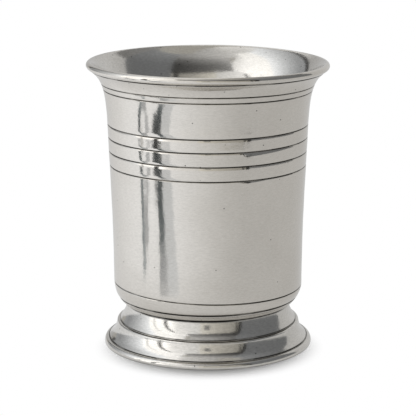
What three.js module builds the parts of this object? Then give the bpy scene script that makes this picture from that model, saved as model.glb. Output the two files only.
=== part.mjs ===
// Footed pewter tumbler: a turned drum with a flared mouth, a floor disc soldered
// in from above, and a hollow cast foot of two coves, each over a rounded edge.
// Millimetres, +Z up, origin at the centre of the foot on the table.
import * as THREE from "three";

// Drum: the wall, the flared mouth and the rounded shoulder
const DRUM_HEIGHT = 84.7;
const BODY_RADIUS = 33.1;
const BODY_TAPER = 1.75;
const WALL = 1.85;
const FLARE_DROP = 21.3;
const FLARE_OVERHANG = 7.15;
const FLARE_ANGLE = 53;
const FLARE_PULL_TOP = 4.35;
const FLARE_PULL_BOTTOM = 14.9;
const LIP_ROUND = 1.15;
const WALL_SLOPE = 2.3;
const WALL_PULL_TOP = 20;
const WALL_PULL_BOTTOM = 22.1;
const SHOULDER_HEIGHT = 7.6;
const SHOULDER_CORNER = 2.8;
const SHOULDER_TURN_IN = 3.2;

// Turned lines: drops are below the lip's crest, rises are above the drum's underside
const LINE_WIDTH = 0.6;
const LINE_DEPTH = 0.3;
const LIP_LINE_DROP = 2.75;
const PAIR_LINE_DROPS = [7.36, 9.35];
const BODY_LINE_DROPS = [21.55, 26.1, 30.9, 35.85];
const SHOULDER_LINE_RISE = 6.55;
const UNDERSIDE_LINE_RISE = 2.17;

// Floor: the ledge that carries it, the disc and the solder run round its edge
const LEDGE_THICKNESS = 1.7;
const LEDGE_WIDTH = 3.2;
const RECESS_INSET = 0.45;
const FLOOR_THICKNESS = 1.8;
const FLOOR_CLEARANCE = 0.3;
const CORNER_LEAN = 45;
const CORNER_PULL = 2.2;
const SOLDER_LEG = 1.6;
const SOLDER_GAP = 0.3;
const SOLDER_HOLLOW = 0.2;

// Foot: base edge, lower cove, step edge, upper cove, neck, seat and locating collar
const BASE_EDGE_HEIGHT = 2.15;
const BASE_EDGE_REACH = 1.15;
const BASE_ROUND = 0.4;
const LOWER_COVE_HEIGHT = 5.6;
const LOWER_COVE_REACH = 3.35;
const LOWER_COVE_DEPTH = 0.59;
const STEP_EDGE_HEIGHT = 0.6;
const STEP_EDGE_REACH = 0.85;
const UPPER_COVE_HEIGHT = 5.95;
const UPPER_COVE_REACH = 2.75;
const UPPER_COVE_DEPTH = 0.41;
const NECK_HEIGHT = 0.7;
const NECK_SETBACK = 1.4;
const NECK_CHAMFER = 0.4;
const FOOT_WALL = 1.9;
const REST_WIDTH = 2.2;
const COLLAR_WALL = 1.7;
const COLLAR_RISE = 1.2;
const COLLAR_CLEARANCE = 0.3;
const FOOT_LINE_WIDTH = 0.3;
const FOOT_LINE_DEPTH = 0.3;

// Neck joint: a thin ring of solder, set back from the neck's outside
const SOLDER_THICKNESS = 0.3;
const SOLDER_SETBACK = 0.9;

// Facets: steps round the axis, along a curve, and round a small radius
const TURN_STEPS = 48;
const CURVE_STEPS = 5;
const ROUND_STEPS = 4;
const HEIGHT_SEARCH_STEPS = 40;
const SAME_POINT = 1e-4;
const HALF_TURN = 180;

// Levels and radii that follow from the sizes above
const STEP_BASE_Z = BASE_EDGE_HEIGHT + LOWER_COVE_HEIGHT;
const STEP_TOP_Z = STEP_BASE_Z + STEP_EDGE_HEIGHT;
const NECK_Z = STEP_TOP_Z + UPPER_COVE_HEIGHT;
const SEAT_Z = NECK_Z + NECK_HEIGHT;
const DRUM_BASE_Z = SEAT_Z + SOLDER_THICKNESS;
const CREST_Z = DRUM_BASE_Z + DRUM_HEIGHT;
const LEDGE_Z = DRUM_BASE_Z + LEDGE_THICKNESS;
const FLOOR_Z = LEDGE_Z + FLOOR_THICKNESS;
const WALL_BASE_Z = DRUM_BASE_Z + SHOULDER_HEIGHT;
const FLARE_BASE_Z = CREST_Z - FLARE_DROP;
const FLARE_BASE_RADIUS = BODY_RADIUS + BODY_TAPER;
const RIM_RADIUS = FLARE_BASE_RADIUS + FLARE_OVERHANG;
const DRUM_NECK_RADIUS = BODY_RADIUS - SHOULDER_TURN_IN;
const FOOT_NECK_RADIUS = DRUM_NECK_RADIUS - NECK_SETBACK;
const RECESS_RADIUS = DRUM_NECK_RADIUS - RECESS_INSET;
const FLOOR_RADIUS = RECESS_RADIUS - FLOOR_CLEARANCE;
const HOLE_RADIUS = RECESS_RADIUS - LEDGE_WIDTH;
const COLLAR_RADIUS = HOLE_RADIUS - COLLAR_CLEARANCE;
const UPPER_COVE_RADIUS = FOOT_NECK_RADIUS + UPPER_COVE_REACH;
const STEP_RADIUS = UPPER_COVE_RADIUS + STEP_EDGE_REACH;
const LOWER_COVE_RADIUS = STEP_RADIUS + LOWER_COVE_REACH;
const BASE_RADIUS = LOWER_COVE_RADIUS + BASE_EDGE_REACH;
const REST_RADIUS = BASE_RADIUS - BASE_ROUND - REST_WIDTH;

const PEWTER = { color: 0xb9b6af, roughness: 0.36, metalness: 1.0 };
const BRIGHT_PEWTER = { color: 0xc2c0bb, roughness: 0.2, metalness: 1.0 };
const SOLDER = { color: 0x8d8b86, roughness: 0.5, metalness: 1.0 };

const point = (radius, height) => new THREE.Vector2(radius, height);

// Direction of a wall that leans out by an angle from the upright, pointing up
function leaning(degrees) {
  const angle = THREE.MathUtils.degToRad(degrees);
  return point(Math.sin(angle), Math.cos(angle));
}

// The side of a travel direction that lies to its right
const rightOf = (direction) => point(direction.y, -direction.x);

const shifted = (start, direction, distance) => start.clone().addScaledVector(direction, distance);

// Share of a climbing curve's length at which it passes a height
function shareAtHeight(curve, height) {
  let low = 0;
  let high = 1;
  for (let step = 0; step < HEIGHT_SEARCH_STEPS; step += 1) {
    const middle = 0.5 * (low + high);
    if (curve.getPointAt(middle).y < height) low = middle;
    else high = middle;
  }
  return low;
}

// A turned line let into a curve: lower edge, floor and upper edge
function turnedLine(curve, share) {
  const middle = curve.getPointAt(share);
  const along = curve.getTangentAt(share);
  return [
    shifted(middle, along, -LINE_WIDTH / 2),
    shifted(middle, rightOf(along), -LINE_DEPTH),
    shifted(middle, along, LINE_WIDTH / 2),
  ];
}

// Points up a row of curves that follow each other, with a turned line at each height
function turnedWall(curves, lineHeights) {
  const plain = [];
  const lines = [];
  let start = 0;
  for (const curve of curves) {
    const length = curve.getLength();
    const isOnCurve = (height) => height > curve.getPointAt(0).y && height <= curve.getPointAt(1).y;
    for (let step = 0; step <= CURVE_STEPS; step += 1) {
      const share = step / CURVE_STEPS;
      plain.push({ at: start + share * length, points: [curve.getPointAt(share)] });
    }
    for (const height of lineHeights.filter(isOnCurve)) {
      const share = shareAtHeight(curve, height);
      lines.push({ at: start + share * length, points: turnedLine(curve, share) });
    }
    start += length;
  }
  const isClear = ({ at }) => lines.every((line) => Math.abs(line.at - at) > LINE_WIDTH);
  const isEnd = ({ at }) => at === 0 || at === start;
  const stations = [...plain.filter((station) => isEnd(station) || isClear(station)), ...lines];
  return stations.sort((a, b) => a.at - b.at).flatMap((station) => station.points);
}

// Points down a curve, moved off its left side by a wall's thickness
function insideOf(curve, thickness) {
  const points = [];
  for (let step = CURVE_STEPS; step >= 0; step -= 1) {
    const share = step / CURVE_STEPS;
    points.push(shifted(curve.getPointAt(share), rightOf(curve.getTangentAt(share)), -thickness));
  }
  return points;
}

// Points on an arc, angles in degrees from the outward direction
function arcPoints(centre, radius, from, to, steps) {
  const points = [];
  for (let step = 0; step <= steps; step += 1) {
    const angle = THREE.MathUtils.degToRad(from + ((to - from) * step) / steps);
    points.push(point(centre.x + radius * Math.cos(angle), centre.y + radius * Math.sin(angle)));
  }
  return points;
}

// Drops points that repeat the one before
const distinct = (points) => points.filter((p, i) => i === 0 || p.distanceTo(points[i - 1]) > SAME_POINT);

// A ring turned from a section that runs up its outside and down its inside
function turnedRing(name, finish, section) {
  const outline = distinct(section);
  outline.push(outline[0].clone());
  return turnedSolid(name, finish, outline);
}

function turnedSolid(name, finish, outline) {
  const geometry = new THREE.LatheGeometry(outline, TURN_STEPS);
  geometry.rotateX(Math.PI / 2);
  const mesh = new THREE.Mesh(geometry, new THREE.MeshStandardMaterial(finish));
  mesh.name = name;
  return mesh;
}

// The drum's outside, from the neck up to the lip: shoulder, wall and flare
function drumCurves() {
  const lipCentre = point(RIM_RADIUS - LIP_ROUND, CREST_Z - LIP_ROUND);
  const lipSlope = leaning(FLARE_ANGLE);
  const flareTop = shifted(lipCentre, rightOf(lipSlope), LIP_ROUND);
  const flareBase = point(FLARE_BASE_RADIUS, FLARE_BASE_Z);
  const wallSlope = leaning(WALL_SLOPE);
  const wallBase = point(BODY_RADIUS, WALL_BASE_Z);
  const shoulder = new THREE.QuadraticBezierCurve(
    point(DRUM_NECK_RADIUS, DRUM_BASE_Z),
    point(BODY_RADIUS, DRUM_BASE_Z + SHOULDER_CORNER),
    wallBase,
  );
  const wall = new THREE.CubicBezierCurve(
    wallBase,
    shifted(wallBase, leaning(0), WALL_PULL_BOTTOM),
    shifted(flareBase, wallSlope, -WALL_PULL_TOP),
    flareBase,
  );
  const flare = new THREE.CubicBezierCurve(
    flareBase,
    shifted(flareBase, wallSlope, FLARE_PULL_BOTTOM),
    shifted(flareTop, lipSlope, -FLARE_PULL_TOP),
    flareTop,
  );
  return { shoulder, wall, flare, lipCentre };
}

// The inside corner, from the ledge's recess up to the foot of the inner wall
function insideCorner() {
  const top = point(BODY_RADIUS - WALL, WALL_BASE_Z);
  const base = point(RECESS_RADIUS, FLOOR_Z);
  return new THREE.CubicBezierCurve(
    base,
    shifted(base, leaning(CORNER_LEAN), CORNER_PULL),
    shifted(top, leaning(0), -CORNER_PULL),
    top,
  );
}

function cupBody() {
  const { shoulder, wall, flare, lipCentre } = drumCurves();
  const drops = [LIP_LINE_DROP, ...PAIR_LINE_DROPS, ...BODY_LINE_DROPS];
  const lineHeights = drops.map((drop) => CREST_Z - drop);
  lineHeights.push(DRUM_BASE_Z + SHOULDER_LINE_RISE, DRUM_BASE_Z + UNDERSIDE_LINE_RISE);
  return turnedRing("cup_body", PEWTER, [
    point(HOLE_RADIUS, DRUM_BASE_Z),
    ...turnedWall([shoulder, wall, flare], lineHeights),
    ...arcPoints(lipCentre, LIP_ROUND, -FLARE_ANGLE, HALF_TURN - FLARE_ANGLE, ROUND_STEPS),
    ...insideOf(flare, WALL).slice(1),
    ...insideOf(wall, WALL),
    ...insideCorner().getPoints(CURVE_STEPS).reverse(),
    point(RECESS_RADIUS, LEDGE_Z),
    point(HOLE_RADIUS, LEDGE_Z),
  ]);
}

function cupFloor() {
  return turnedSolid("cup_floor", BRIGHT_PEWTER, [
    point(0, LEDGE_Z),
    point(FLOOR_RADIUS, LEDGE_Z),
    point(FLOOR_RADIUS, FLOOR_Z),
    point(0, FLOOR_Z),
  ]);
}

// A hollow-faced run of solder that stands on the floor's edge and backs on to the inside corner
function floorSolder() {
  const corner = insideCorner();
  const topShare = shareAtHeight(corner, FLOOR_Z + SOLDER_LEG);
  const outwardAt = (share) => rightOf(corner.getTangentAt(share));
  const backAt = (share) => shifted(corner.getPointAt(share), outwardAt(share), -SOLDER_GAP);
  const heel = point(FLOOR_RADIUS, FLOOR_Z);
  const top = backAt(topShare);
  const toe = point(FLOOR_RADIUS - SOLDER_LEG, FLOOR_Z);
  const face = new THREE.QuadraticBezierCurve(top, heel.clone().lerp(top, SOLDER_HOLLOW), toe);
  return turnedRing("floor_solder_fillet", SOLDER, [
    heel,
    backAt(topShare / 2),
    ...face.getPoints(CURVE_STEPS),
  ]);
}

// A hollow that runs up and in; its depth is the share by which it sinks towards a square corner
function cove(bottom, top, depth) {
  const corner = point(top.x, bottom.y);
  const middle = bottom.clone().lerp(top, 0.5);
  return new THREE.QuadraticBezierCurve(bottom, middle.lerp(corner, depth), top);
}

// A rounded edge that rises straight and turns in over the top
function roundedEdge(bottom, top) {
  return new THREE.QuadraticBezierCurve(bottom, point(bottom.x, top.y), top);
}

// A turned groove between a rounded edge and the cove above it, from its floor's foot to its top
const edgeLine = (radius, height) => [
  point(radius - FOOT_LINE_DEPTH, height),
  point(radius - FOOT_LINE_DEPTH, height + FOOT_LINE_WIDTH),
];

function foot() {
  const restEdge = point(BASE_RADIUS - BASE_ROUND, 0);
  const baseSide = point(BASE_RADIUS, BASE_ROUND);
  const baseUnder = new THREE.QuadraticBezierCurve(restEdge, point(BASE_RADIUS, 0), baseSide);
  const baseLine = edgeLine(LOWER_COVE_RADIUS, BASE_EDGE_HEIGHT);
  const baseEdge = roundedEdge(baseSide, baseLine[0]);
  const stepSide = point(STEP_RADIUS, STEP_BASE_Z);
  const stepLine = edgeLine(UPPER_COVE_RADIUS, STEP_TOP_Z);
  const stepEdge = roundedEdge(stepSide, stepLine[0]);
  const lowerFoot = point(LOWER_COVE_RADIUS, BASE_EDGE_HEIGHT + FOOT_LINE_WIDTH);
  const upperFoot = point(UPPER_COVE_RADIUS, STEP_TOP_Z + FOOT_LINE_WIDTH);
  const lowerCove = cove(lowerFoot, stepSide, LOWER_COVE_DEPTH);
  const upperCove = cove(upperFoot, point(FOOT_NECK_RADIUS, NECK_Z), UPPER_COVE_DEPTH);
  const collarInside = COLLAR_RADIUS - COLLAR_WALL;
  const underSeat = SEAT_Z - FOOT_WALL;
  return turnedRing("foot", BRIGHT_PEWTER, [
    point(REST_RADIUS, 0),
    ...baseUnder.getPoints(ROUND_STEPS),
    ...baseEdge.getPoints(ROUND_STEPS),
    ...baseLine,
    ...lowerCove.getPoints(CURVE_STEPS),
    ...stepEdge.getPoints(ROUND_STEPS),
    ...stepLine,
    ...upperCove.getPoints(CURVE_STEPS),
    point(FOOT_NECK_RADIUS, SEAT_Z - NECK_CHAMFER),
    point(FOOT_NECK_RADIUS - NECK_CHAMFER, SEAT_Z),
    point(COLLAR_RADIUS, SEAT_Z),
    point(COLLAR_RADIUS, SEAT_Z + COLLAR_RISE),
    point(collarInside, SEAT_Z + COLLAR_RISE),
    point(collarInside, underSeat),
    ...insideOf(upperCove, FOOT_WALL).filter((p) => p.y < underSeat && p.y > STEP_TOP_Z),
    ...insideOf(lowerCove, FOOT_WALL).filter((p) => p.y < STEP_BASE_Z && p.x < REST_RADIUS),
  ]);
}

function neckSolder() {
  const outer = FOOT_NECK_RADIUS - SOLDER_SETBACK;
  return turnedRing("neck_solder_ring", SOLDER, [
    point(HOLE_RADIUS, SEAT_Z),
    point(outer, SEAT_Z),
    point(outer, DRUM_BASE_Z),
    point(HOLE_RADIUS, DRUM_BASE_Z),
  ]);
}

const tumbler = new THREE.Group();
tumbler.name = "footed_tumbler";
tumbler.add(foot(), neckSolder(), cupBody(), cupFloor(), floorSolder());

export default tumbler;
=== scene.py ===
"""Footed pewter tumbler: turned pieces, finishes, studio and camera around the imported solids."""

import math

import bmesh
import bpy
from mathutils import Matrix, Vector, noise
from mathutils.geometry import interpolate_bezier


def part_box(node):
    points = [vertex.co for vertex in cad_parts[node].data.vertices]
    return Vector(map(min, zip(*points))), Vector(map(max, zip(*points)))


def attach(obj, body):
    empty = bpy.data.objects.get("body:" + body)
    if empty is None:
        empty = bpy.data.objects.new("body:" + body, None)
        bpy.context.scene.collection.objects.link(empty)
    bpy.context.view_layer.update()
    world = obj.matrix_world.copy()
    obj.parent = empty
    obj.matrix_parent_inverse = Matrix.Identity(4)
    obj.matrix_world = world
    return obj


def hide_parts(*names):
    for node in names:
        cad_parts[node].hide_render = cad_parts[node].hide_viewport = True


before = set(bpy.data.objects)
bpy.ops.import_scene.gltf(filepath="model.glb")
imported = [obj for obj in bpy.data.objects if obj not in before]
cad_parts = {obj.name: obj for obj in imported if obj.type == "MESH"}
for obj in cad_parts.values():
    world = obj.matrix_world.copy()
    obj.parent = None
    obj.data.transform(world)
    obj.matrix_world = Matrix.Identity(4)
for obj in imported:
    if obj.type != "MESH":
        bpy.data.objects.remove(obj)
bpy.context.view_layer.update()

MM = 0.001

# Levels and radii read from the solids, in millimetres
DRUM_LOW, DRUM_HIGH = (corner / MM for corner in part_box("cup_body"))
FOOT_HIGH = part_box("foot")[1] / MM
FLOOR_LOW, FLOOR_HIGH = (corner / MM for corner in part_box("cup_floor"))
RING_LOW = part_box("neck_solder_ring")[0] / MM
CREST_Z = DRUM_HIGH.z
RIM_RADIUS = DRUM_HIGH.x
DRUM_BASE_Z = DRUM_LOW.z
BASE_RADIUS = FOOT_HIGH.x
COLLAR_TOP_Z = FOOT_HIGH.z
SEAT_Z = RING_LOW.z
LEDGE_Z = FLOOR_LOW.z
FLOOR_Z = FLOOR_HIGH.z
FLOOR_RADIUS = FLOOR_HIGH.x

# Drum
FLARE_OVERHANG = 7.15
FLARE_DROP = 21.3
FLARE_LEAN = 53
FLARE_PULL_TOP = 4.35
FLARE_PULL_BOTTOM = 14.9
LIP_ROUND = 1.15
BODY_TAPER = 1.75
WALL = 1.85
WALL_LEAN = 2.3
WALL_PULL_TOP = 20
WALL_PULL_BOTTOM = 22.1
SHOULDER_HEIGHT = 7.6
SHOULDER_CORNER = 2.8
SHOULDER_TURN_IN = 3.2
RECESS_INSET = 0.45
LEDGE_WIDTH = 3.2
CORNER_LEAN = 45
CORNER_PULL = 2.2
SHOULDER_POINTS = 20
WALL_POINTS = 48
FLARE_POINTS = 32
LIP_STEPS = 16
CORNER_POINTS = 10
FLARE_BASE_RADIUS = RIM_RADIUS - FLARE_OVERHANG
FLARE_BASE_Z = CREST_Z - FLARE_DROP
BODY_RADIUS = FLARE_BASE_RADIUS - BODY_TAPER
WALL_BASE_Z = DRUM_BASE_Z + SHOULDER_HEIGHT
DRUM_NECK_RADIUS = BODY_RADIUS - SHOULDER_TURN_IN
RECESS_RADIUS = DRUM_NECK_RADIUS - RECESS_INSET
HOLE_RADIUS = RECESS_RADIUS - LEDGE_WIDTH

# Turned lines on the drum, with how dark the patina in them is
LINE_WIDTH = 0.6
LINE_DEPTH = 0.3
LINE_DARK = 0.85
LINE_DROPS = (2.75, 7.36, 9.35, 21.55, 26.1, 30.9, 35.85)
LINE_HEIGHTS = [CREST_Z - drop for drop in LINE_DROPS]
SHOULDER_LINE_Z = DRUM_BASE_Z + 6.55
UNDERSIDE_LINE_Z = DRUM_BASE_Z + 2.17
TOOL_MARK_WIDTH = 0.22
TOOL_MARK_DEPTH = 0.05
TOOL_MARK_DARK = 0.3
TOOL_MARK_HEIGHTS = [DRUM_BASE_Z + rise for rise in (0.6, 1.05, 1.5)]
STEEP_LINE_WIDTH = 1.2
STEEP_LINE_DEPTH = 0.16
STEEP_LINE_DARK = 1.0
# Painted shade with seam grime: the height above the drum's base over which the drum darkens into the
# crevice over the foot
SEAM_GRIME_AND_SHADE = 0.45

# Section that the tool leaves: the place across the line, the sink and the patina, each as a share
LINE_SECTION = (
    (-0.55, 0.0, 0.0), (-0.4, 0.12, 0.1), (-0.24, 0.75, 0.85), (0.0, 1.0, 1.0),
    (0.24, 0.75, 0.85), (0.4, 0.12, 0.1), (0.55, 0.0, 0.0),
)

# Where the drum is out of level
SHOULDER_LINE_SLOPE = 0.0222
SLOPE_FADE = 3.0
MOUTH_SAG = 0.4
SAG_HEIGHT = 0.6 * FLARE_DROP

# Worn flats under two lines: the line, a flat's first, widest and last azimuths, and its height
WORN_FLATS = [(LINE_HEIGHTS[4], 19, 22.5, 70, 1.5), (LINE_HEIGHTS[6], 16, 22, 48, 0.8)]
WORN_TILT = 13

# Shares of a flat's height at which a row of points is cut in
WORN_ROWS = (0.45, 0.65, 0.85, 1.05)

# Floor disc, with shares of its radius and how far its turned face dips there
FLOOR_CHAMFER = 0.2
FLOOR_DIPS = ((0.9, 0.0), (0.55, 0.08), (0.53, 0.02), (0.2, 0.06), (0.0, 0.1))

# Foot
BASE_EDGE_HEIGHT = 2.15
BASE_EDGE_REACH = 1.15
BASE_ROUND = 0.4
LOWER_COVE_REACH = 3.35
LOWER_COVE_DEPTH = 0.59
STEP_BASE_Z = 7.75
STEP_TOP_Z = 8.35
STEP_EDGE_REACH = 0.85
UPPER_COVE_REACH = 2.75
UPPER_COVE_DEPTH = 0.41
NECK_Z = 14.3
NECK_CHAMFER = 0.4
FOOT_WALL = 1.9
REST_WIDTH = 2.2
COLLAR_WALL = 1.7
COLLAR_CLEARANCE = 0.3
COVE_RUN_OUT = 0.7
FOOT_LINE_WIDTH = 0.3
FOOT_LINE_DEPTH = 0.3
FOOT_LINE_ROWS = (0.0, 0.7, 1.0)
GRIME_FADE = 0.35
# How dark the foot's lines are, and the painted shade with grime in the crevice under the drum and along
# the base's lowest edge
FULL_GRIME_AND_SHADE = 1.0
FAINT_GRIME_AND_SHADE = 0.5
BASE_UNDER_POINTS = 6
BASE_EDGE_POINTS = 14
COVE_POINTS = 28
STEP_POINTS = 12
LOWER_COVE_RADIUS = BASE_RADIUS - BASE_EDGE_REACH
STEP_RADIUS = LOWER_COVE_RADIUS - LOWER_COVE_REACH
UPPER_COVE_RADIUS = STEP_RADIUS - STEP_EDGE_REACH
FOOT_NECK_RADIUS = UPPER_COVE_RADIUS - UPPER_COVE_REACH
COLLAR_RADIUS = HOLE_RADIUS - COLLAR_CLEARANCE

# How far hand finishing leaves the turned faces out of true, in millimetres
DRUM_WAVE = 0.06
DRUM_WAVE_LOW_Z = DRUM_BASE_Z + 1
DRUM_WAVE_HIGH_Z = CREST_Z - 4
DRUM_WAVE_FADE = 5
FOOT_WAVE = 0.025
FOOT_WAVE_FADE = 2
WAVE_ACROSS = 11.0
WAVE_UP = 7.0
FINE_WAVE_SHARE = 0.4
FINE_WAVE_RATE = 2.3

# Meshing
TURN_STEPS = 240
SHARP_EDGE = 40
CUT_GAP = 1e-6
MERGE_GAP = 1e-4
SAME_POINT = 1e-3
FACES_IN = -1e-3
FACES_DOWN = -0.9


def at(radius, height):
    """A point of a profile, which stands in the X and Z plane."""
    return Vector((radius, 0.0, height))


def leaning(degrees):
    """Direction of a wall that leans out from the upright, pointing up."""
    return at(math.sin(math.radians(degrees)), math.cos(math.radians(degrees)))


def swept(start, corner, end, points):
    """A soft bend from start to end that leaves and arrives towards a corner."""
    return interpolate_bezier(start, start.lerp(corner, 2 / 3), end.lerp(corner, 2 / 3), end, points)


def arc(centre, radius, first, last, steps):
    """Points round part of a circle, between two angles in degrees."""
    angles = [math.radians(first + (last - first) * i / steps) for i in range(steps + 1)]
    return [centre + radius * at(math.cos(a), math.sin(a)) for a in angles]


def smooth(share):
    """A share from 0 to 1, eased at both ends."""
    share = min(1.0, max(0.0, share))
    return share * share * (3 - 2 * share)


def inset(run, thickness, end_thickness=None):
    """The run's inner side, in reverse order; over the run's last half the wall may thicken."""
    moved = []
    last = len(run) - 1
    for i, p in enumerate(run):
        along = (run[min(i + 1, last)] - run[max(i - 1, 0)]).normalized()
        more = ((end_thickness or thickness) - thickness) * smooth(2 * i / last - 1)
        moved.append(p + (thickness + more) * at(-along.z, along.x))
    return moved[::-1]


def profile_wire(*runs):
    """A bmesh holding one wire through the runs, in millimetres, with repeated points merged."""
    wire = bmesh.new()
    wire.verts.layers.float.new("patina_and_shade")
    extend(wire, None, *runs)
    bmesh.ops.remove_doubles(wire, verts=wire.verts[:], dist=MERGE_GAP)
    return wire


def extend(wire, last, *runs):
    """Carries a wire on through the runs from its last vertex, if it has one."""
    for p in (p for run in runs for p in run):
        vert = wire.verts.new(p)
        if last is not None:
            wire.edges.new((last, vert))
        last = vert


def crossing(wire, height):
    """The vertex at which a rising wire passes a height, cut in there."""
    cut = bmesh.ops.bisect_plane(
        wire, geom=wire.verts[:] + wire.edges[:], dist=CUT_GAP,
        plane_co=(0, 0, height), plane_no=(0, 0, 1),
    )["geom_cut"]
    return next(part for part in cut if isinstance(part, bmesh.types.BMVert))


def score(wire, height, width, depth, dark):
    """Scores a rounded groove into a rising wire at a height, as a turning tool does."""
    patina_and_shade = wire.verts.layers.float["patina_and_shade"]
    near = min(wire.edges, key=lambda e: abs((e.verts[0].co.z + e.verts[1].co.z) / 2 - height))
    along = near.verts[1].co - near.verts[0].co
    along = (along if along.z > 0 else -along).normalized()
    section = []
    for share, sink, shade in LINE_SECTION:
        section.append((crossing(wire, height + share * width * along.z), sink, shade))
    cut = [vert for vert, _, _ in section]
    low, high = cut[0].co.z, cut[-1].co.z
    between = [v for v in wire.verts if low < v.co.z < high and v not in cut]
    bmesh.ops.dissolve_verts(wire, verts=between)
    for vert, sink, shade in section:
        vert.co += sink * depth * at(-along.z, along.x)
        vert[patina_and_shade] = shade * dark


def turned(wire, closed=True):
    """Spins a wire about the turning axis into a closed mesh, in millimetres."""
    ends = [v for v in wire.verts if len(v.link_edges) == 1]
    if closed and len(ends) == 2:
        wire.edges.new(ends)
    bmesh.ops.spin(
        wire, geom=wire.verts[:] + wire.edges[:], axis=(0, 0, 1), cent=(0, 0, 0),
        angle=math.tau, steps=TURN_STEPS, use_merge=True,
    )
    bmesh.ops.remove_doubles(wire, verts=wire.verts[:], dist=MERGE_GAP)
    bmesh.ops.recalc_face_normals(wire, faces=wire.faces[:])
    return wire


def hand_finish(mesh, wave, low, high, fade):
    """Leaves the faces a little out of true, the way scraping and burnishing do, between two heights."""
    for vert in mesh.verts:
        spot = Vector((vert.co.x / WAVE_ACROSS, vert.co.y / WAVE_ACROSS, vert.co.z / WAVE_UP))
        share = min(1.0, max(0.0, min(vert.co.z - low, high - vert.co.z) / fade))
        swell = noise.noise(spot) + FINE_WAVE_SHARE * noise.noise(FINE_WAVE_RATE * spot)
        outward = Vector((vert.co.x, vert.co.y, 0.0)).normalized()
        vert.co += wave * share * swell * outward


def outwardness(face):
    """Above zero where a face looks away from the turning axis, and below it where it looks in."""
    spot = face.calc_center_median()
    return spot.x * face.normal.x + spot.y * face.normal.y


def piece_of(name, mesh, node, slot, *finishes):
    """Scales a mesh to metres and puts it in the scene in place of a solid."""
    bmesh.ops.scale(mesh, vec=(MM, MM, MM), verts=mesh.verts[:])
    for face in mesh.faces:
        face.smooth = True
    data = bpy.data.meshes.new(name)
    mesh.to_mesh(data)
    mesh.free()
    data.set_sharp_from_angle(angle=math.radians(SHARP_EDGE))
    for finish in finishes:
        data.materials.append(finish)
    piece = bpy.data.objects.new(name, data)
    bpy.context.scene.collection.objects.link(piece)
    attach(piece, "root")
    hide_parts(node)


# Finishes


def nodes_of(tree):
    """An emptied node tree's own calls to add a node and to link two sockets."""
    tree.nodes.clear()

    def add(kind, **values):
        node = tree.nodes.new(kind)
        for key, value in values.items():
            setattr(node, key, value)
        return node

    return add, tree.links.new


def effect(name, inputs, output):
    """A shader node group with float inputs and one float output."""
    tree = bpy.data.node_groups.new(name, "ShaderNodeTree")
    for label, value in inputs.items():
        socket = tree.interface.new_socket(label, in_out="INPUT", socket_type="NodeSocketFloat")
        socket.default_value = value
    tree.interface.new_socket(output, in_out="OUTPUT", socket_type="NodeSocketFloat")
    add, link = nodes_of(tree)
    return tree, add, link, add("NodeGroupInput"), add("NodeGroupOutput")


def turning_marks():
    """Fine level lines left by the lathe tool, a little broken along their length."""
    tree, add, link, given, result = effect("turning_marks", {"Pitch": 2500.0, "Run": 60.0}, "Height")
    place = add("ShaderNodeTexCoord")
    stretch = add("ShaderNodeCombineXYZ")
    link(given.outputs["Run"], stretch.inputs["X"])
    link(given.outputs["Run"], stretch.inputs["Y"])
    link(given.outputs["Pitch"], stretch.inputs["Z"])
    spot = add("ShaderNodeVectorMath", operation="MULTIPLY")
    link(place.outputs["Object"], spot.inputs[0])
    link(stretch.outputs[0], spot.inputs[1])
    lines = add("ShaderNodeTexNoise")
    lines.inputs["Scale"].default_value = 1.0
    lines.inputs["Detail"].default_value = 3.0
    link(spot.outputs[0], lines.inputs["Vector"])
    link(lines.outputs["Fac"], result.inputs["Height"])
    return tree


def clouding():
    """Slow uneven patches that handling leaves on a soft metal."""
    tree, add, link, given, result = effect("clouding", {"Scale": 60.0, "Detail": 4.0}, "Cloud")
    place = add("ShaderNodeTexCoord")
    cloud = add("ShaderNodeTexNoise")
    link(place.outputs["Object"], cloud.inputs["Vector"])
    link(given.outputs["Scale"], cloud.inputs["Scale"])
    link(given.outputs["Detail"], cloud.inputs["Detail"])
    spread = add("ShaderNodeMapRange")
    spread.inputs["From Min"].default_value = 0.3
    spread.inputs["From Max"].default_value = 0.7
    link(cloud.outputs["Fac"], spread.inputs["Value"])
    link(spread.outputs["Result"], result.inputs["Cloud"])
    return tree


def casting_pits():
    """Scattered pinholes of the casting."""
    inputs = {"Scale": 380.0, "Size": 0.11, "Share": 0.2}
    tree, add, link, given, result = effect("casting_pits", inputs, "Mask")
    place = add("ShaderNodeTexCoord")
    cells = add("ShaderNodeTexVoronoi")
    link(place.outputs["Object"], cells.inputs["Vector"])
    link(given.outputs["Scale"], cells.inputs["Scale"])
    edge = add("ShaderNodeMath", operation="DIVIDE")
    link(cells.outputs["Distance"], edge.inputs[0])
    link(given.outputs["Size"], edge.inputs[1])
    hole = add("ShaderNodeMapRange", interpolation_type="SMOOTHSTEP")
    hole.inputs["From Min"].default_value = 0.5
    hole.inputs["From Max"].default_value = 1.0
    hole.inputs["To Min"].default_value = 1.0
    hole.inputs["To Max"].default_value = 0.0
    link(edge.outputs[0], hole.inputs["Value"])
    draw = add("ShaderNodeSeparateColor")
    link(cells.outputs["Color"], draw.inputs[0])
    kept = add("ShaderNodeMath", operation="LESS_THAN")
    link(draw.outputs[0], kept.inputs[0])
    link(given.outputs["Share"], kept.inputs[1])
    both = add("ShaderNodeMath", operation="MULTIPLY")
    link(hole.outputs["Result"], both.inputs[0])
    link(kept.outputs[0], both.inputs[1])
    link(both.outputs[0], result.inputs["Mask"])
    return tree


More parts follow.
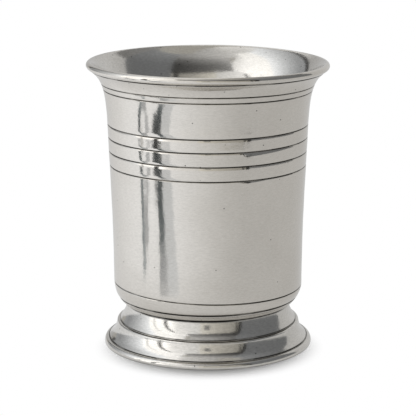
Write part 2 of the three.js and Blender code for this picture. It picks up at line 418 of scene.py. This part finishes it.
def patina_and_shade_mask():
    """Dark patina lying in the turned lines, and painted shade in the crevice at the neck and along the
    base's lowest edge, worn through in places.
    """
    tree, add, link, given, result = effect("patina_and_shade_mask", {"Scale": 110.0, "Least": 0.75}, "Mask")
    mark = add("ShaderNodeAttribute", attribute_name="patina_and_shade")
    place = add("ShaderNodeTexCoord")
    patches = add("ShaderNodeTexNoise")
    patches.inputs["Detail"].default_value = 5.0
    link(place.outputs["Object"], patches.inputs["Vector"])
    link(given.outputs["Scale"], patches.inputs["Scale"])
    worn = add("ShaderNodeMapRange", interpolation_type="SMOOTHSTEP")
    worn.inputs["From Min"].default_value = 0.36
    worn.inputs["From Max"].default_value = 0.52
    worn.inputs["To Max"].default_value = 1.2
    link(patches.outputs["Fac"], worn.inputs["Value"])
    link(given.outputs["Least"], worn.inputs["To Min"])
    both = add("ShaderNodeMath", operation="MULTIPLY")
    link(mark.outputs["Fac"], both.inputs[0])
    link(worn.outputs["Result"], both.inputs[1])
    link(both.outputs[0], result.inputs["Mask"])
    return tree


TURNING_MARKS = turning_marks()
CLOUDING = clouding()
CASTING_PITS = casting_pits()
PATINA_AND_SHADE_GROUP = patina_and_shade_mask()
# Dark tone of the patina in the lines and of the painted shade in the crevice and at the base's edge
PATINA_AND_SHADE_TONE = (0.028, 0.026, 0.022, 1)
PIT_TONE = (0.14, 0.135, 0.125, 1)
PATINA_ROUGHNESS = 0.55
HANDLED_ROUGHNESS = (0.88, 1.15)
MARK_HEIGHT = 2e-6


def pewter(name, tone, dull_tone, roughness, anisotropy, grain=5e-6, fleck=0.075, pit_share=0.2):
    """A pewter finish: tool marks, grain, clouding, pinholes, patina in the lines and painted shade in
    the crevice and at the base's edge.
    """
    material = bpy.data.materials.new(name)
    material.use_nodes = True
    add, link = nodes_of(material.node_tree)
    metal = add("ShaderNodeBsdfPrincipled")
    metal.inputs["Metallic"].default_value = 1.0
    metal.inputs["Anisotropic"].default_value = anisotropy
    metal.inputs["Anisotropic Rotation"].default_value = 0.25
    around = add("ShaderNodeTangent", direction_type="RADIAL", axis="Z")
    link(around.outputs[0], metal.inputs["Tangent"])
    cloud = add("ShaderNodeGroup", node_tree=CLOUDING)
    pits = add("ShaderNodeGroup", node_tree=CASTING_PITS)
    pits.inputs["Share"].default_value = pit_share
    patina_and_shade = add("ShaderNodeGroup", node_tree=PATINA_AND_SHADE_GROUP)
    lines = add("ShaderNodeGroup", node_tree=TURNING_MARKS)
    speckle = add("ShaderNodeGroup", node_tree=CLOUDING)
    speckle.inputs["Scale"].default_value = 1000.0
    speckle.inputs["Detail"].default_value = 3.0
    scratches = add("ShaderNodeGroup", node_tree=TURNING_MARKS)
    scratches.inputs["Pitch"].default_value = 2600.0
    scratches.inputs["Run"].default_value = 800.0

    clouded = add("ShaderNodeMix", data_type="RGBA")
    clouded.inputs["A"].default_value = (*tone, 1)
    clouded.inputs["B"].default_value = (*dull_tone, 1)
    link(cloud.outputs["Cloud"], clouded.inputs["Factor"])
    flecks = add("ShaderNodeMapRange")
    flecks.inputs["From Min"].default_value = 0.2
    flecks.inputs["From Max"].default_value = 0.8
    flecks.inputs["To Min"].default_value = 1.0 - fleck
    flecks.inputs["To Max"].default_value = 1.0 + fleck
    link(scratches.outputs["Height"], flecks.inputs["Value"])
    flecked = add("ShaderNodeMix", data_type="RGBA", blend_type="MULTIPLY")
    flecked.inputs["Factor"].default_value = 1.0
    link(clouded.outputs["Result"], flecked.inputs["A"])
    link(flecks.outputs["Result"], flecked.inputs["B"])
    pitted = add("ShaderNodeMix", data_type="RGBA")
    pitted.inputs["B"].default_value = PIT_TONE
    link(pits.outputs["Mask"], pitted.inputs["Factor"])
    link(flecked.outputs["Result"], pitted.inputs["A"])
    lined = add("ShaderNodeMix", data_type="RGBA")
    lined.inputs["B"].default_value = PATINA_AND_SHADE_TONE
    link(patina_and_shade.outputs["Mask"], lined.inputs["Factor"])
    link(pitted.outputs["Result"], lined.inputs["A"])
    link(lined.outputs["Result"], metal.inputs["Base Color"])

    handled = add("ShaderNodeMapRange")
    handled.inputs["To Min"].default_value = roughness * HANDLED_ROUGHNESS[0]
    handled.inputs["To Max"].default_value = roughness * HANDLED_ROUGHNESS[1]
    link(cloud.outputs["Cloud"], handled.inputs["Value"])
    dulled = add("ShaderNodeMix", data_type="FLOAT")
    dulled.inputs["B"].default_value = PATINA_ROUGHNESS
    link(patina_and_shade.outputs["Mask"], dulled.inputs["Factor"])
    link(handled.outputs["Result"], dulled.inputs["A"])
    link(dulled.outputs["Result"], metal.inputs["Roughness"])

    tooled = add("ShaderNodeBump")
    tooled.inputs["Distance"].default_value = MARK_HEIGHT
    link(lines.outputs["Height"], tooled.inputs["Height"])
    grained = add("ShaderNodeBump")
    grained.inputs["Distance"].default_value = grain
    link(speckle.outputs["Cloud"], grained.inputs["Height"])
    link(tooled.outputs["Normal"], grained.inputs["Normal"])
    link(grained.outputs["Normal"], metal.inputs["Normal"])
    out = add("ShaderNodeOutputMaterial")
    link(metal.outputs[0], out.inputs["Surface"])
    return material


SATIN = pewter(
    "satin_pewter", (0.68, 0.65, 0.60), (0.64, 0.61, 0.56), roughness=0.1, anisotropy=0.7,
)
MOUTH = pewter(
    "mouth_pewter", (0.67, 0.65, 0.615), (0.62, 0.60, 0.56), roughness=0.14, anisotropy=0.1,
    fleck=0.11, pit_share=0.6,
)
BRIGHT = pewter(
    "bright_pewter", (0.68, 0.66, 0.625), (0.64, 0.62, 0.58), roughness=0.13, anisotropy=0.1,
    grain=4e-6, fleck=0.12, pit_share=0.35,
)
CAST = pewter(
    "cast_pewter", (0.46, 0.445, 0.42), (0.36, 0.35, 0.33), roughness=0.42, anisotropy=0.0,
    grain=1.2e-5, pit_share=0.7,
)
SOLDER = pewter(
    "solder_grey", (0.34, 0.33, 0.31), (0.22, 0.21, 0.2), roughness=0.45, anisotropy=0.0,
    grain=1.2e-5, pit_share=0.6,
)


# Pieces


def drum_curves():
    """The drum's outside, from its neck up to the far side of the lip, in four runs."""
    lip_centre = at(RIM_RADIUS - LIP_ROUND, CREST_Z - LIP_ROUND)
    lip_lean = leaning(FLARE_LEAN)
    flare_top = lip_centre + LIP_ROUND * at(lip_lean.z, -lip_lean.x)
    flare_base = at(FLARE_BASE_RADIUS, FLARE_BASE_Z)
    wall_base = at(BODY_RADIUS, WALL_BASE_Z)
    neck = at(DRUM_NECK_RADIUS, DRUM_BASE_Z)
    shoulder = swept(neck, at(BODY_RADIUS, DRUM_BASE_Z + SHOULDER_CORNER), wall_base, SHOULDER_POINTS)
    wall = interpolate_bezier(
        wall_base, wall_base + WALL_PULL_BOTTOM * leaning(0),
        flare_base - WALL_PULL_TOP * leaning(WALL_LEAN), flare_base, WALL_POINTS,
    )
    flare = interpolate_bezier(
        flare_base, flare_base + FLARE_PULL_BOTTOM * leaning(WALL_LEAN),
        flare_top - FLARE_PULL_TOP * lip_lean, flare_top, FLARE_POINTS,
    )
    lip = arc(lip_centre, LIP_ROUND, -FLARE_LEAN, 180 - FLARE_LEAN, LIP_STEPS)
    return shoulder, wall, flare, lip


def wear_flat(mesh, line, first, widest, last, height):
    """Tilts in the metal just under a line, most at one azimuth and fading to both sides."""
    slope = math.tan(math.radians(WORN_TILT))
    for vert in mesh.verts:
        drop = line - vert.co.z
        azimuth = math.degrees(math.atan2(vert.co.x, -vert.co.y))
        if azimuth < widest:
            share = (azimuth - first) / (widest - first)
        else:
            share = (last - azimuth) / (last - widest)
        is_outside = math.hypot(vert.co.x, vert.co.y) > BODY_RADIUS - LINE_DEPTH
        sink = slope * (height * min(1.0, max(0.0, share)) - drop)
        if is_outside and drop > 0 and sink > 0:
            vert.co -= sink * Vector((vert.co.x, vert.co.y, 0.0)).normalized()


def slope_line(mesh, line):
    """Lets a scored line run a little out of level, higher on its left."""
    for vert in mesh.verts:
        share = 1.0 - abs(vert.co.z - line) / SLOPE_FADE
        if share > 0:
            vert.co.z -= SHOULDER_LINE_SLOPE * vert.co.x * share


def sag_mouth(mesh):
    """Lets the flared mouth lie a little lower on its right, as a hand-finished rim does."""
    for vert in mesh.verts:
        rise = smooth((vert.co.z - FLARE_BASE_Z) / SAG_HEIGHT)
        vert.co.z -= MOUTH_SAG * rise * smooth(vert.co.x / RIM_RADIUS)


def cup_body():
    """The drum: its outside is scored, its lining follows the outside, and a ledge carries the floor."""
    shoulder, wall, flare, lip = drum_curves()
    wire = profile_wire(shoulder, wall, flare)
    for line, _, _, _, height in WORN_FLATS:
        for share in WORN_ROWS:
            crossing(wire, line - share * height)
    for height in (*LINE_HEIGHTS[1:], SHOULDER_LINE_Z):
        score(wire, height, LINE_WIDTH, LINE_DEPTH, LINE_DARK)
    for height in (LINE_HEIGHTS[0], UNDERSIDE_LINE_Z):
        score(wire, height, STEEP_LINE_WIDTH, STEEP_LINE_DEPTH, STEEP_LINE_DARK)
    for height in TOOL_MARK_HEIGHTS:
        score(wire, height, TOOL_MARK_WIDTH, TOOL_MARK_DEPTH, TOOL_MARK_DARK)
    patina_and_shade = wire.verts.layers.float["patina_and_shade"]
    # Painted shade with seam grime darkens the drum's lowest band, in the crevice over the foot
    for vert in wire.verts:
        vert[patina_and_shade] = max(vert[patina_and_shade], 1.0 - (vert.co.z - DRUM_BASE_Z) / SEAM_GRIME_AND_SHADE)
    corner_top = at(BODY_RADIUS - WALL, WALL_BASE_Z)
    corner_base = at(RECESS_RADIUS, FLOOR_Z)
    corner = interpolate_bezier(
        corner_top, corner_top - CORNER_PULL * leaning(0),
        corner_base + CORNER_PULL * leaning(CORNER_LEAN), corner_base, CORNER_POINTS,
    )
    ledge = [at(RECESS_RADIUS, LEDGE_Z), at(HOLE_RADIUS, LEDGE_Z), at(HOLE_RADIUS, DRUM_BASE_Z)]
    rim = max(wire.verts, key=lambda v: v.co.z)
    lining = inset(flare, WALL, 2 * LIP_ROUND)
    extend(wire, rim, lip[1:], lining[1:], inset(wall, WALL)[1::2], corner[1:], ledge)
    mesh = turned(wire)
    hand_finish(mesh, DRUM_WAVE, DRUM_WAVE_LOW_Z, DRUM_WAVE_HIGH_Z, DRUM_WAVE_FADE)
    for flat in WORN_FLATS:
        wear_flat(mesh, *flat)
    slope_line(mesh, SHOULDER_LINE_Z)
    sag_mouth(mesh)
    for face in mesh.faces:
        face.material_index = 1 if outwardness(face) < 0 else 0
    piece_of("cup_body_turned", mesh, "cup_body", "satin_pewter", SATIN, MOUTH)


def cup_floor():
    """The disc that closes the drum, its upper face turned a little hollow."""
    edge = [
        at(0, LEDGE_Z), at(FLOOR_RADIUS, LEDGE_Z),
        at(FLOOR_RADIUS, FLOOR_Z - FLOOR_CHAMFER), at(FLOOR_RADIUS - FLOOR_CHAMFER, FLOOR_Z),
    ]
    face = [at(FLOOR_RADIUS * share, FLOOR_Z - dip) for share, dip in FLOOR_DIPS]
    mesh = turned(profile_wire(edge, face), closed=False)
    piece_of("cup_floor_disc", mesh, "cup_floor", "bright_pewter", MOUTH)


def cove(bottom, top, depth):
    """A hollow run up the foot, straight over its lowest part, where the tool ran out."""
    corner = at(top.x, bottom.z)
    run = swept(bottom, bottom.lerp(top, 0.5).lerp(corner, depth), top, COVE_POINTS)
    hollow = [p for p in run if p.z > bottom.z + COVE_RUN_OUT]
    slope = hollow[0] - hollow[1]
    end = hollow[0] + slope * ((bottom.z - hollow[0].z) / slope.z)
    return [end, end.lerp(hollow[0], GRIME_FADE), *hollow]


def line_bed(radius, low):
    """The upright bed of a line on the foot, with a row below its upper end, where the grime begins."""
    return [at(radius, low + share * FOOT_LINE_WIDTH) for share in FOOT_LINE_ROWS]


def foot():
    """The hollow foot: a rounded base edge, two coves with a line under each, and the collared seat."""
    base_side = at(BASE_RADIUS, BASE_ROUND)
    base_inner = at(BASE_RADIUS - BASE_ROUND, 0)
    base_under = swept(base_inner, at(BASE_RADIUS, 0), base_side, BASE_UNDER_POINTS)
    lower_line = line_bed(LOWER_COVE_RADIUS - FOOT_LINE_DEPTH, BASE_EDGE_HEIGHT)
    base_edge = swept(base_side, at(BASE_RADIUS, BASE_EDGE_HEIGHT), lower_line[0], BASE_EDGE_POINTS)
    lower_foot = at(LOWER_COVE_RADIUS, BASE_EDGE_HEIGHT + FOOT_LINE_WIDTH)
    step_side = at(STEP_RADIUS, STEP_BASE_Z)
    lower = cove(lower_foot, step_side, LOWER_COVE_DEPTH)
    upper_line = line_bed(UPPER_COVE_RADIUS - FOOT_LINE_DEPTH, STEP_TOP_Z)
    step = swept(step_side, at(STEP_RADIUS, STEP_TOP_Z), upper_line[0], STEP_POINTS)
    upper_foot = at(UPPER_COVE_RADIUS, STEP_TOP_Z + FOOT_LINE_WIDTH)
    upper = cove(upper_foot, at(FOOT_NECK_RADIUS, NECK_Z), UPPER_COVE_DEPTH)
    rest_inner = BASE_RADIUS - BASE_ROUND - REST_WIDTH
    under_seat = SEAT_Z - FOOT_WALL
    collar_inside = COLLAR_RADIUS - COLLAR_WALL
    seat = [
        at(FOOT_NECK_RADIUS, SEAT_Z - NECK_CHAMFER), at(FOOT_NECK_RADIUS - NECK_CHAMFER, SEAT_Z),
        at(COLLAR_RADIUS, SEAT_Z), at(COLLAR_RADIUS, COLLAR_TOP_Z),
        at(collar_inside, COLLAR_TOP_Z), at(collar_inside, under_seat),
    ]
    under = [p for p in inset(upper, FOOT_WALL) if STEP_TOP_Z < p.z < under_seat]
    under += [p for p in inset(lower, FOOT_WALL) if p.z < STEP_BASE_Z and p.x < rest_inner]
    wire = profile_wire(
        [at(rest_inner, 0)], base_under, base_edge, lower_line, lower,
        step, upper_line, upper, seat, under,
    )
    # Patina in the foot's two lines, and grime with painted shade in the crevice under the drum at the
    # neck's chamfer
    grime_and_shade = [(p, FULL_GRIME_AND_SHADE) for p in (*lower_line[1:], lower[0], *upper_line[1:], upper[0], *seat[:2])]
    # Fainter painted shade with grime at the upper cove's top, and painted contact shade along the
    # base's lowest edge
    grime_and_shade += [(p, FAINT_GRIME_AND_SHADE) for p in (upper[-1], *base_under[2:5])]
    patina_and_shade = wire.verts.layers.float["patina_and_shade"]
    for vert in wire.verts:
        near = [dark for p, dark in grime_and_shade if (vert.co - p).length < SAME_POINT]
        vert[patina_and_shade] = max(near, default=0.0)
    mesh = turned(wire)
    hand_finish(mesh, FOOT_WAVE, BASE_EDGE_HEIGHT, SEAT_Z, FOOT_WAVE_FADE)
    for face in mesh.faces:
        is_under = outwardness(face) < FACES_IN or face.normal.z < FACES_DOWN
        face.material_index = 1 if is_under else 0
    piece_of("foot_turned", mesh, "foot", "bright_pewter", BRIGHT, CAST)


cup_body()
cup_floor()
foot()
for node in ("floor_solder_fillet", "neck_solder_ring"):
    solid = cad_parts[node]
    solid.data.materials.clear()
    solid.data.materials.append(SOLDER)


# Studio

NEUTRAL = (1.0, 1.0, 1.0)
WARM = (1.03, 1.0, 0.92)
COOL = (0.95, 0.985, 1.035)
PALE_BLUE = (0.975, 0.995, 1.035)
STEEL_BLUE = (0.85, 0.985, 1.055)
CEILING_TONE = (0.48, 0.47, 0.44, 1)
FILL_TONE = (0.22, 0.22, 0.22, 1)

# Cards, in metres from the turning axis
CARD_RADIUS = 0.9
BACK_RADIUS = CARD_RADIUS + 0.015
FRONT_TOP_RADIUS = CARD_RADIUS + 0.02
ROOM_END_RADIUS = CARD_RADIUS + 0.03
BOARD_RADIUS = 0.31
LENS_RADIUS = BOARD_RADIUS - 0.005
POST_RADIUS = BOARD_RADIUS - 0.004
STRIP_LIFT = 0.0005
CARD_STEPS = 16
LEAN_POWER = 3

# Table, its shadow and its brightness in reflections
TABLE_REACH = 2.5
TABLE_PALENESS = 0.9
SHADOW_CENTRE = (0.0004, -0.008, 0)
SHADOW_INNER = 0.026
SHADOW_OUTER = 0.041
MIRRORED_GLOW = 0.7
MIRRORED_TONES = (0.62, 1.13)
BRIGHT_AZIMUTH = -70
BRIGHT_SPAN = 0.16
BRIGHT_START = -0.35
BRIGHT_EASE = 1.5

# Lamp and camera
LAMP_SIZE = 0.3
LAMP_POWER = 10.6
LAMP_PLACE = (0, 0.1, 1.1)
SENSOR_WIDTH = 36
LENS_LENGTH = 155.84
CAMERA_PLACE = (0.00004, -0.6162, 0.18688)
CAMERA_DIP = 12.713


def toward(azimuth):
    """Level direction at an azimuth: 0 towards the camera, 90 to its right."""
    return Vector((math.sin(math.radians(azimuth)), -math.cos(math.radians(azimuth)), 0.0))


def graded(first, last, share):
    """A tone between two others, in even ratios."""
    return first * (last / first) ** share


def card_glow():
    """The cards' own light, from the tone stored at their corners."""
    material = bpy.data.materials.new("card_glow")
    material.use_nodes = True
    add, link = nodes_of(material.node_tree)
    tone = add("ShaderNodeAttribute", attribute_name="tone")
    glow = add("ShaderNodeEmission")
    out = add("ShaderNodeOutputMaterial")
    link(tone.outputs["Color"], glow.inputs["Color"])
    link(glow.outputs[0], out.inputs["Surface"])
    return material


CARD_GLOW = card_glow()


def stage_card(name, sheet):
    """A card that shows only in reflections."""
    mesh = bpy.data.meshes.new(name)
    sheet.to_mesh(mesh)
    sheet.free()
    mesh.materials.append(CARD_GLOW)
    obj = bpy.data.objects.new(name, mesh)
    for ray in ("camera", "diffuse", "shadow", "transmission"):
        setattr(obj, "visible_" + ray, False)
    bpy.context.scene.collection.objects.link(obj)


def card(
    name, azimuths, elevations, tones, top_tones=None, last_top=None,
    lean=0.0, radius=CARD_RADIUS, tint=NEUTRAL,
):
    """A curved upright card, toned along its length and upwards, that may lean as it rises."""
    sheet = bmesh.new()
    shade = sheet.verts.layers.float_color.new("tone")
    bmesh.ops.create_grid(sheet, x_segments=CARD_STEPS, y_segments=CARD_STEPS, size=0.5)
    for vert in sheet.verts:
        across = vert.co.x + 0.5
        up = vert.co.y + 0.5
        azimuth = azimuths[0] + (azimuths[1] - azimuths[0]) * across + lean * up ** LEAN_POWER
        top = elevations[1] + ((last_top or elevations[1]) - elevations[1]) * across
        elevation = elevations[0] + (top - elevations[0]) * up
        level = graded(graded(*tones, across), graded(*(top_tones or tones), across), up)
        vert.co = radius * toward(azimuth)
        vert.co.z = radius * math.tan(math.radians(elevation))
        vert[shade] = (*(level * part for part in tint), 1)
    stage_card(name, sheet)


def table_strip(name, near, far, tint=COOL):
    """A strip lying on the table, from near to far, each a distance, an azimuth, a width and a tone."""
    sheet = bmesh.new()
    shade = sheet.verts.layers.float_color.new("tone")
    corners = []
    for (distance, azimuth, width, tone), sides in ((near, (-0.5, 0.5)), (far, (0.5, -0.5))):
        for side in sides:
            along = toward(azimuth)
            across = Vector((-along.y, along.x, 0.0))
            vert = sheet.verts.new(distance * along + side * width * across + Vector((0, 0, STRIP_LIFT)))
            vert[shade] = (*(tone * part for part in tint), 1)
            corners.append(vert)
    sheet.faces.new(corners)
    stage_card(name, sheet)


def studio_world():
    """White to the camera, a grey ceiling in reflections and a dim fill on the table."""
    world = bpy.data.worlds.new("studio")
    bpy.context.scene.world = world
    world.use_nodes = True
    add, link = nodes_of(world.node_tree)
    path = add("ShaderNodeLightPath")
    ceiling = add("ShaderNodeBackground")
    ceiling.inputs["Color"].default_value = CEILING_TONE
    white = add("ShaderNodeBackground")
    white.inputs["Color"].default_value = (*NEUTRAL, 1)
    fill = add("ShaderNodeBackground")
    fill.inputs["Color"].default_value = FILL_TONE
    lit = add("ShaderNodeMixShader")
    seen = add("ShaderNodeMixShader")
    out = add("ShaderNodeOutputWorld")
    link(path.outputs["Is Diffuse Ray"], lit.inputs[0])
    link(ceiling.outputs[0], lit.inputs[1])
    link(fill.outputs[0], lit.inputs[2])
    link(path.outputs["Is Camera Ray"], seen.inputs[0])
    link(lit.outputs[0], seen.inputs[1])
    link(white.outputs[0], seen.inputs[2])
    link(seen.outputs[0], out.inputs["Surface"])


def white_table():
    """The table's finish: plain white with a soft shadow, and brighter to the left in reflections."""
    material = bpy.data.materials.new("white_table")
    material.use_nodes = True
    add, link = nodes_of(material.node_tree)
    place = add("ShaderNodeTexCoord")
    path = add("ShaderNodeLightPath")
    # Away from the foot the table glows, and near it the shadow is left
    reach = add("ShaderNodeVectorMath", operation="DISTANCE")
    reach.inputs[1].default_value = SHADOW_CENTRE
    link(place.outputs["Object"], reach.inputs[0])
    least = add("ShaderNodeMapRange")
    least.inputs["To Min"].default_value = MIRRORED_GLOW
    least.inputs["To Max"].default_value = 0.0
    link(path.outputs["Is Camera Ray"], least.inputs["Value"])
    spread = add("ShaderNodeMapRange", interpolation_type="SMOOTHSTEP")
    spread.inputs["From Min"].default_value = SHADOW_INNER
    spread.inputs["From Max"].default_value = SHADOW_OUTER
    link(least.outputs["Result"], spread.inputs["To Min"])
    link(reach.outputs["Value"], spread.inputs["Value"])
    # Reflections show the table brightest on the softbox's side
    distance = add("ShaderNodeVectorMath", operation="LENGTH")
    link(place.outputs["Object"], distance.inputs[0])
    span = add("ShaderNodeMath", operation="MAXIMUM")
    span.inputs[1].default_value = BRIGHT_SPAN
    link(distance.outputs["Value"], span.inputs[0])
    across = add("ShaderNodeVectorMath", operation="DOT_PRODUCT")
    across.inputs[1].default_value = toward(BRIGHT_AZIMUTH)
    link(place.outputs["Object"], across.inputs[0])
    turn = add("ShaderNodeMath", operation="DIVIDE")
    link(across.outputs["Value"], turn.inputs[0])
    link(span.outputs[0], turn.inputs[1])
    facing = add("ShaderNodeMapRange")
    facing.inputs["From Min"].default_value = BRIGHT_START
    link(turn.outputs[0], facing.inputs["Value"])
    eased = add("ShaderNodeMath", operation="POWER")
    eased.inputs[1].default_value = BRIGHT_EASE
    link(facing.outputs["Result"], eased.inputs[0])
    lit = add("ShaderNodeMapRange")
    lit.inputs["To Min"].default_value = MIRRORED_TONES[0]
    lit.inputs["To Max"].default_value = MIRRORED_TONES[1]
    link(eased.outputs[0], lit.inputs["Value"])
    tinted = add("ShaderNodeMix", data_type="RGBA")
    tinted.inputs["A"].default_value = (*NEUTRAL, 1)
    tinted.inputs["B"].default_value = (*PALE_BLUE, 1)
    link(eased.outputs[0], tinted.inputs["Factor"])
    mirrored = add("ShaderNodeVectorMath", operation="SCALE")
    link(tinted.outputs["Result"], mirrored.inputs[0])
    link(lit.outputs["Result"], mirrored.inputs["Scale"])
    seen = add("ShaderNodeMix", data_type="RGBA")
    seen.inputs["B"].default_value = (*NEUTRAL, 1)
    link(path.outputs["Is Camera Ray"], seen.inputs["Factor"])
    link(mirrored.outputs["Vector"], seen.inputs["A"])
    pale = add("ShaderNodeVectorMath", operation="SCALE")
    pale.inputs["Scale"].default_value = TABLE_PALENESS
    link(seen.outputs["Result"], pale.inputs[0])
    matte = add("ShaderNodeBsdfDiffuse")
    link(pale.outputs["Vector"], matte.inputs["Color"])
    glow = add("ShaderNodeEmission")
    link(seen.outputs["Result"], glow.inputs["Color"])
    mix = add("ShaderNodeMixShader")
    link(spread.outputs["Result"], mix.inputs[0])
    link(matte.outputs[0], mix.inputs[1])
    link(glow.outputs[0], mix.inputs[2])
    out = add("ShaderNodeOutputMaterial")
    link(mix.outputs[0], out.inputs["Surface"])
    return material


def lay_table():
    """The wide flat table that the cup stands on."""
    sheet = bmesh.new()
    bmesh.ops.create_grid(sheet, x_segments=1, y_segments=1, size=TABLE_REACH)
    mesh = bpy.data.meshes.new("table")
    sheet.to_mesh(mesh)
    sheet.free()
    mesh.materials.append(white_table())
    table = bpy.data.objects.new("table", mesh)
    bpy.context.scene.collection.objects.link(table)


def hang_lamp():
    """A soft lamp overhead, which shapes the shadow and isn't mirrored."""
    light = bpy.data.lights.new("overhead", "AREA")
    light.shape = "RECTANGLE"
    light.size = LAMP_SIZE
    light.size_y = LAMP_SIZE
    light.energy = LAMP_POWER
    lamp = bpy.data.objects.new("overhead", light)
    lamp.location = LAMP_PLACE
    lamp.visible_camera = False
    lamp.visible_glossy = False
    bpy.context.scene.collection.objects.link(lamp)


def set_camera():
    """The photograph's view, level from side to side and dipped towards the cup."""
    view = bpy.data.cameras.new("photo_view")
    view.sensor_width = SENSOR_WIDTH
    view.lens = LENS_LENGTH
    camera = bpy.data.objects.new("photo_view", view)
    camera.location = CAMERA_PLACE
    camera.rotation_euler = (math.radians(90 - CAMERA_DIP), 0, 0)
    bpy.context.scene.collection.objects.link(camera)
    bpy.context.scene.camera = camera


# The near board, with the edge beyond its right end and the lens in front of it
card("board_end", (-54, -43), (2, 36.8), (2.0, 1.2), radius=BOARD_RADIUS)
card("board_left", (-43, -10), (2, 36.8), (1.14, 0.86), radius=BOARD_RADIUS)
card("board_right", (-10, 37.5), (2, 36.8), (0.84, 0.37), last_top=32, radius=BOARD_RADIUS, tint=WARM)
card("board_gap", (37.5, 39.5), (3, 38), (0.02, 0.02), radius=BOARD_RADIUS)
card("board_edge", (39.5, 41.2), (3, 38), (0.6, 0.6), (0.15, 0.15), radius=BOARD_RADIUS, tint=WARM)
card("board_far_gap", (41.2, 45.5), (3, 38), (0.03, 0.03), radius=BOARD_RADIUS)
card("lens", (-4.5, 2.5), (13.5, 24), (0.22, 0.22), radius=LENS_RADIUS)

# Near posts on the left
card("left_post", (-60.7, -55.7), (0, 34), (0.06, 0.06), (0.12, 0.12), lean=11, radius=POST_RADIUS)
card("far_left_post", (-77.5, -75), (0, 32), (0.6, 0.6), (0.9, 0.9), lean=7, radius=POST_RADIUS)

# The room in front, to the right and behind
card("front_dark", (-31, 47), (25, 40), (0.26, 0.06), (0.34, 0.06))
card("front_rise", (-31, 47), (40, 58), (0.34, 0.06), (0.7, 0.33))
card("front_top", (-53, 47), (57, 68), (0.85, 0.33), (0.85, 0.42), radius=FRONT_TOP_RADIUS)
card("right_room", (47, 108), (0, 42), (0.21, 0.2), tint=COOL)
card("right_room_end", (108, 130), (0, 43), (0.2, 0.2), radius=ROOM_END_RADIUS, tint=COOL)
card("right_room_top", (47, 122), (42, 66), (0.21, 0.2), (0.36, 0.32), tint=COOL)
card("right_back", (111, 152), (0, 43), (0.6, 0.68), lean=14, radius=BACK_RADIUS)
card("right_back_top", (120, 170), (42, 66), (0.22, 0.24), (0.33, 0.33))
card("back_sweep", (150, 210), (0, 30), (0.68, 0.5))
card("back_upper", (150, 210), (30, 44), (0.68, 0.5), (0.68, 1.2))
card("back_top", (170, 210), (44, 70), (1.0, 1.0))

# The left side, from behind to the softbox, and the ceiling over it
card("dark_edge", (-150, -143), (12, 50), (0.07, 0.07))
card("left_back", (-143, -134), (0, 40), (0.4, 0.37), (0.5, 0.46), tint=COOL)
card("left_back_top", (-143, -134), (40, 68), (0.5, 0.46), (0.9, 1.1), tint=COOL)
card("left_wall", (-134, -86), (0, 40), (0.32, 1.35), (0.47, 1.5), tint=COOL)
card("left_wall_top", (-134, -86), (40, 68), (0.47, 1.5), (1.1, 1.25), tint=COOL)
card("softbox", (-86, -53), (-1, 68), (1.8, 1.8), (1.3, 1.3))
card("softbox_corner", (-53, -31), (25, 64), (1.6, 1.35), (1.15, 1.05), last_top=46)
card("ceiling_back_left", (-140, -90), (68, 86), (1.1, 0.88))
card("ceiling_left", (-90, 30), (68, 88), (0.92, 0.52))

# Strips on the table, which lengthen the posts' dark lines down the cup
table_strip("left_strip_end", (0.12, -46.5, 0.022, 0.56), (0.165, -50.3, 0.024, 0.46))
table_strip("left_strip", (0.165, -50.3, 0.022, 0.22), (0.226, -53.8, 0.0235, 0.1), STEEL_BLUE)
table_strip("left_strip_wide", (0.226, -54.3, 0.034, 0.1), (0.34, -59, 0.075, 0.05), STEEL_BLUE)
table_strip("left_strip_side", (0.12, -37, 0.03, 0.82), (0.34, -48, 0.062, 0.76))
table_strip("left_half_strip", (0.16, -72, 0.015, 0.6), (0.236, -73, 0.03, 0.48))
table_strip("left_half_strip_far", (0.244, -69.5, 0.018, 0.6), (0.34, -68.5, 0.03, 0.55))
table_strip("far_left_strip", (0.14, -73.5, 0.009, 0.4), (0.34, -80.5, 0.022, 0.05), STEEL_BLUE)

studio_world()
lay_table()
hang_lamp()
set_camera()
bpy.context.scene.view_settings.view_transform = "Standard"
